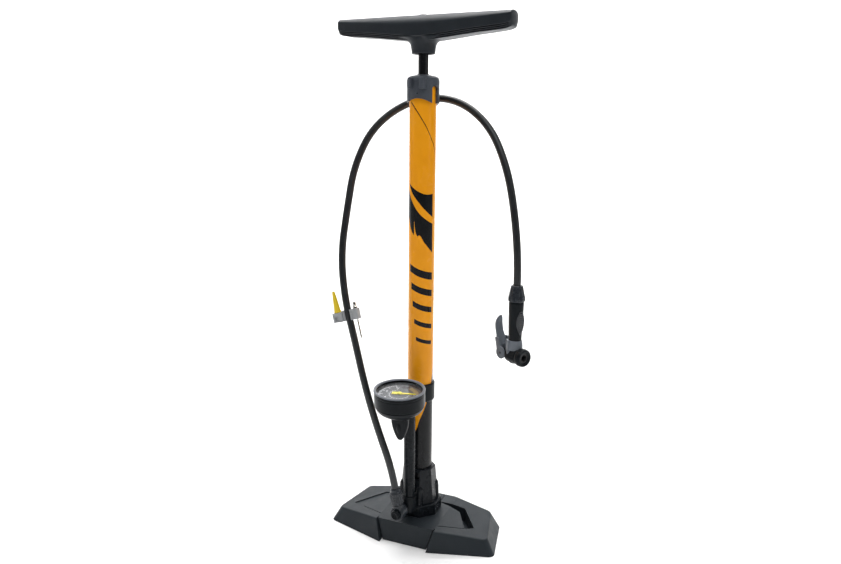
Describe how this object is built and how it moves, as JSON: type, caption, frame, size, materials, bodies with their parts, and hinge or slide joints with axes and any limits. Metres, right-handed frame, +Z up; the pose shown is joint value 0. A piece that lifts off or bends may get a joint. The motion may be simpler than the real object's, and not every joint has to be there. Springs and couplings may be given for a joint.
{
  "type": "floor bike pump",
  "caption": "Floor pump with a foot base, orange barrel, T-handle on a sliding rod, tilted pressure gauge, free hose and a lever pump head.",
  "frame": {"origin": "on the floor under the barrel's axis, on the underside of the foot base", "axes": "+Z up along the barrel, +X along the foot base and the handle, -Y towards the gauge"},
  "size_m": [0.2548, 0.1449, 0.6432],
  "materials": {
    "base_plastic": "fine grained moulded plastic",
    "foot_rubber": "matt",
    "orange_paint": "gloss, black lower part and stripes",
    "steel": "bright zinc",
    "black_chrome": "gloss black",
    "black_plastic": "satin",
    "bezel_plastic": "satin grey",
    "dial_print": "printed dial",
    "clear_lens": "clear",
    "brass": "turned",
    "needle_yellow": "painted",
    "handle_plastic": "grained",
    "nylon": "natural",
    "seal_rubber": "matt",
    "hose_rubber": "satin",
    "lever_plastic": "satin",
    "clip_grey": "satin light grey",
    "cone_yellow": "satin",
    "nickel": "nickel plated"
  },
  "bodies": {
    "pump_body": {"base_plate": "base_plastic", "base_end_right": "base_plastic", "base_end_left": "base_plastic", "foot_pads": "foot_rubber", "base_screws": "steel", "barrel_socket": "base_plastic", "barrel_tube": "orange_paint", "barrel_end_plug": "black_plastic", "plug_seal": "seal_rubber", "check_valve_spring": "steel", "air_manifold": "black_plastic", "air_tube": "black_plastic", "swivel_elbow": "black_plastic", "elbow_bolt": "steel", "hose_nut": "black_plastic", "hose": "hose_rubber", "gauge_case": "black_plastic", "gauge_bezel": "bezel_plastic", "gauge_dial": "dial_print", "gauge_lens": "clear_lens", "gauge_movement": "brass", "gauge_bracket": "black_plastic", "bracket_screw": "steel", "top_cap": "base_plastic", "rod_bushing": "nylon", "bump_stop": "seal_rubber", "rod_wiper": "seal_rubber", "cap_screw": "steel", "hose_hook": "base_plastic", "head_collar": "black_plastic", "head_body": "black_plastic", "head_grip": "seal_rubber", "lever_pin": "steel", "nozzle_ring": "black_plastic", "nozzle_grommet": "seal_rubber", "accessory_clip": "clip_grey"},
    "piston": {"piston_head": "nylon", "piston_cup_seal": "seal_rubber"},
    "rod_and_handle": {"piston_rod": "black_chrome", "piston_nut": "steel", "handle": "handle_plastic", "handle_bolt": "steel", "handle_plug": "handle_plastic"},
    "valve_poppet": {"check_valve_poppet": "nylon"},
    "gauge_hand": {"gauge_needle": "needle_yellow"},
    "thumb_lever": {"head_lever": "lever_plastic"},
    "head_piston": {"head_plunger": "black_plastic"},
    "cone_adapter": {"inflation_cone": "cone_yellow"},
    "needle_adapter": {"ball_needle": "nickel"}
  },
  "joints": [
    {"name": "piston_stroke", "type": "slide", "parent": "pump_body", "child": "piston", "axis": [0, 0, 1], "range_m": [-0.018, 0.42]},
    {"name": "handle_turn", "type": "hinge", "parent": "piston", "child": "rod_and_handle", "pos_m": [0, 0, 0.1], "axis": [0, 0, 1], "continuous": true},
    {"name": "check_valve_lift", "type": "slide", "parent": "pump_body", "child": "valve_poppet", "axis": [0, 0, -1], "range_m": [0, 0.0012], "stiffness_N_per_m": 60, "springref_m": -0.0002},
    {"name": "gauge_needle_turn", "type": "hinge", "parent": "pump_body", "child": "gauge_hand", "pos_m": [0, -0.066, 0.2157], "axis": [0, 0.0523, -0.9986], "range_deg": [0, 250]},
    {"name": "lever_flip", "type": "hinge", "parent": "pump_body", "child": "thumb_lever", "pos_m": [0.10823, 0.00448, 0.255], "axis": [-0.5299, -0.848, 0], "range_deg": [0, 90]},
    {"name": "head_plunger_push", "type": "slide", "parent": "pump_body", "child": "head_piston", "axis": [0.848, -0.5299, 0], "range_m": [0, 0.0022]},
    {"name": "cone_pull_out", "type": "slide", "parent": "pump_body", "child": "cone_adapter", "axis": [-0.2697, 0.0899, 0.9588], "range_m": [0, 0.03]},
    {"name": "needle_pull_out", "type": "slide", "parent": "pump_body", "child": "needle_adapter", "axis": [-0.2697, 0.0899, 0.9588], "range_m": [0, 0.045]}
  ],
  "couplings": [
    {"joint": "head_plunger_push", "follows": "lever_flip", "m_per_rad": 0.0014}
  ]
}
